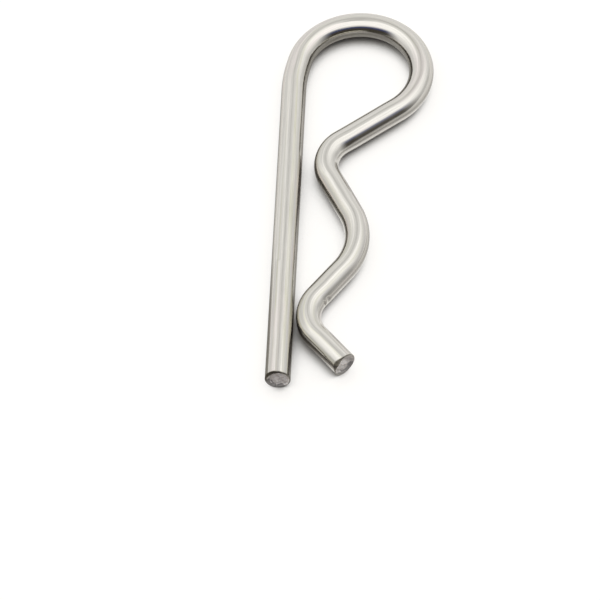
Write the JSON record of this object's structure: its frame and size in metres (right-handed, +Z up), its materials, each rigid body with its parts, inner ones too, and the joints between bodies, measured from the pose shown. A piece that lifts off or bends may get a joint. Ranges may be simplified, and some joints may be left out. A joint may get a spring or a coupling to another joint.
{
  "type": "hitch pin clip",
  "caption": "Hitch pin clip bent from round spring wire: a straight leg, an open loop, and a waved side that clasps a shaft beside the leg.",
  "frame": {"origin": "middle of the clip's box, on the surface that the clip lies on", "axes": "+Y along the straight leg, from its cut end towards the loop; +X from the leg towards the waved side; +Z up, square to the plane of the bends"},
  "size_m": [0.0244, 0.074, 0.004],
  "materials": {
    "wire": "bright drawn stainless steel, smooth, with faint drawing lines along the wire"
  },
  "bodies": {
    "root": {"spring_wire": "wire"}
  },
  "joints": []
}
